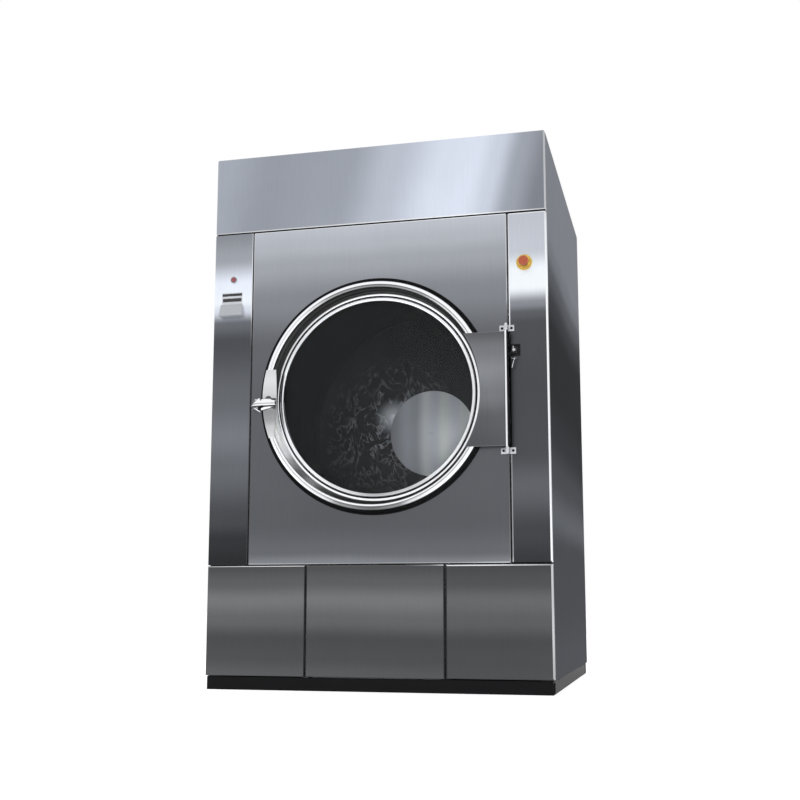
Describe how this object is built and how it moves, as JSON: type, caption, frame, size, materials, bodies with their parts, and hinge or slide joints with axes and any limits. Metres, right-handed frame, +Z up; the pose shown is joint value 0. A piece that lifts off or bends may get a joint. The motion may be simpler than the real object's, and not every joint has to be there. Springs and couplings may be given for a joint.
{
  "type": "industrial tumble dryer",
  "caption": "Floor-standing industrial tumble dryer with a stainless casing, a round glazed door, a belt-driven drum, a steam coil and a lint door.",
  "frame": {"origin": "on the floor under the middle of the casing", "axes": "-Y is the way the door faces, +X is to the right seen from the front, +Z is up"},
  "size_m": [1.42, 1.589, 2.25],
  "materials": {
    "stainless_panel": "brushed",
    "black_base": "satin",
    "frame_steel": "satin",
    "zinc_sheet": "satin",
    "polished_steel": "polished",
    "hinge_steel": "brushed",
    "dark_screws": "satin",
    "drum_steel": "satin",
    "shaft_steel": "machined",
    "pulley_iron": "satin",
    "motor_paint": "satin",
    "black_rubber": "matte",
    "door_glass": "clear",
    "coil_copper": "satin",
    "grey_plastic": "satin",
    "window_plastic": "gloss",
    "lamp_plastic": "gloss",
    "yellow_plastic": "satin",
    "black_plastic": "satin",
    "red_plastic": "gloss"
  },
  "bodies": {
    "cabinet": {"base_frame": "black_base", "frame_posts": "frame_steel", "frame_rails": "frame_steel", "left_side_panel": "stainless_panel", "right_side_panel": "stainless_panel", "rear_panel": "stainless_panel", "top_panel": "stainless_panel", "header_panel": "stainless_panel", "left_column_panel": "stainless_panel", "right_column_panel": "stainless_panel", "door_surround_panel": "stainless_panel", "lower_left_panel": "stainless_panel", "lower_right_panel": "stainless_panel", "opening_gasket": "black_rubber", "door_throat": "zinc_sheet", "hinge_brackets": "polished_steel", "hinge_screws": "dark_screws", "hinge_pin": "polished_steel", "latch_strike": "polished_steel", "drum_chamber": "zinc_sheet", "bearing_beams": "frame_steel", "pillow_blocks": "pulley_iron", "drum_motor": "motor_paint", "drive_belts": "black_rubber", "heater_box": "zinc_sheet", "steam_coil": "coil_copper", "lint_box": "zinc_sheet", "lint_screen": "zinc_sheet", "lint_pivots": "zinc_sheet", "fan_housing": "zinc_sheet", "fan_motor": "motor_paint", "control_box": "zinc_sheet", "controller": "grey_plastic", "display_windows": "window_plastic", "pilot_lamp": "lamp_plastic", "stop_base": "yellow_plastic", "key_switch": "black_plastic", "cable_gland": "black_plastic"},
    "door": {"door_ring": "polished_steel", "clamp_ring": "polished_steel", "glass_gasket": "black_rubber", "door_glass": "door_glass", "hinge_plate": "hinge_steel", "latch_plate": "polished_steel"},
    "latch": {"latch_lever": "polished_steel"},
    "drum": {"drum_shell": "drum_steel", "drum_back": "drum_steel", "hub_cover": "polished_steel", "drum_lifters": "drum_steel", "drum_shaft": "shaft_steel", "drum_pulley": "pulley_iron"},
    "jack": {"jackshaft": "pulley_iron"},
    "motor_rotor": {"motor_pulley": "pulley_iron"},
    "fan": {"fan_wheel": "zinc_sheet"},
    "lint_flap": {"lint_door": "stainless_panel"},
    "stop_plunger": {"stop_stem": "black_plastic"},
    "stop_button": {"stop_head": "red_plastic"},
    "flip_cover": {"controller_cover": "grey_plastic"},
    "key": {"switch_key": "polished_steel"},
    "key_pair": {"key_ring": "polished_steel"}
  },
  "joints": [
    {"name": "door_swing", "type": "hinge", "parent": "cabinet", "child": "door", "pos_m": [0.546, -0.7615, 1.183], "axis": [0, 0, 1], "range_deg": [0, 120]},
    {"name": "latch_turn", "type": "hinge", "parent": "door", "child": "latch", "pos_m": [-0.419, -0.776, 1.159], "axis": [0, 0, 1], "range_deg": [0, 35], "stiffness_Nm_per_rad": 0.4},
    {"name": "drum_spin", "type": "hinge", "parent": "cabinet", "child": "drum", "pos_m": [0, 0, 1.183], "axis": [0, 1, 0], "continuous": true},
    {"name": "jackshaft_spin", "type": "hinge", "parent": "cabinet", "child": "jack", "pos_m": [-0.43, 0.6, 0.593], "axis": [0, 1, 0], "continuous": true},
    {"name": "motor_spin", "type": "hinge", "parent": "cabinet", "child": "motor_rotor", "pos_m": [-0.06, 0.6, 0.182], "axis": [0, 1, 0], "continuous": true},
    {"name": "fan_spin", "type": "hinge", "parent": "cabinet", "child": "fan", "pos_m": [0.353, -0.0045, 0.2686], "axis": [1, 0, 0], "continuous": true},
    {"name": "lint_door_swing", "type": "hinge", "parent": "cabinet", "child": "lint_flap", "pos_m": [-0.2789, -0.7244, 0.275], "axis": [0, 0, -1], "range_deg": [0, 100]},
    {"name": "stop_push", "type": "slide", "parent": "cabinet", "child": "stop_plunger", "axis": [0, 1, 0], "range_m": [0, 0.006], "stiffness_N_per_m": 1500},
    {"name": "stop_twist", "type": "hinge", "parent": "stop_plunger", "child": "stop_button", "pos_m": [0.619, -0.755, 1.698], "axis": [0, 1, 0], "range_deg": [0, 45], "stiffness_Nm_per_rad": 0.05},
    {"name": "cover_flip", "type": "hinge", "parent": "cabinet", "child": "flip_cover", "pos_m": [-0.629, -0.7303, 1.598], "axis": [-1, 0, 0], "range_deg": [0, 90]},
    {"name": "key_turn", "type": "hinge", "parent": "cabinet", "child": "key", "pos_m": [0.574, -0.74, 1.34], "axis": [0, -1, 0], "range_deg": [0, 90]},
    {"name": "key_ring_swing", "type": "hinge", "parent": "key", "child": "key_pair", "pos_m": [0.574, -0.751, 1.332], "axis": [-1, 0, 0], "range_deg": [0, 20]}
  ],
  "couplings": [
    {"joint": "jackshaft_spin", "follows": "drum_spin", "ratio": 7.3551},
    {"joint": "motor_spin", "follows": "drum_spin", "ratio": 29.336}
  ]
}
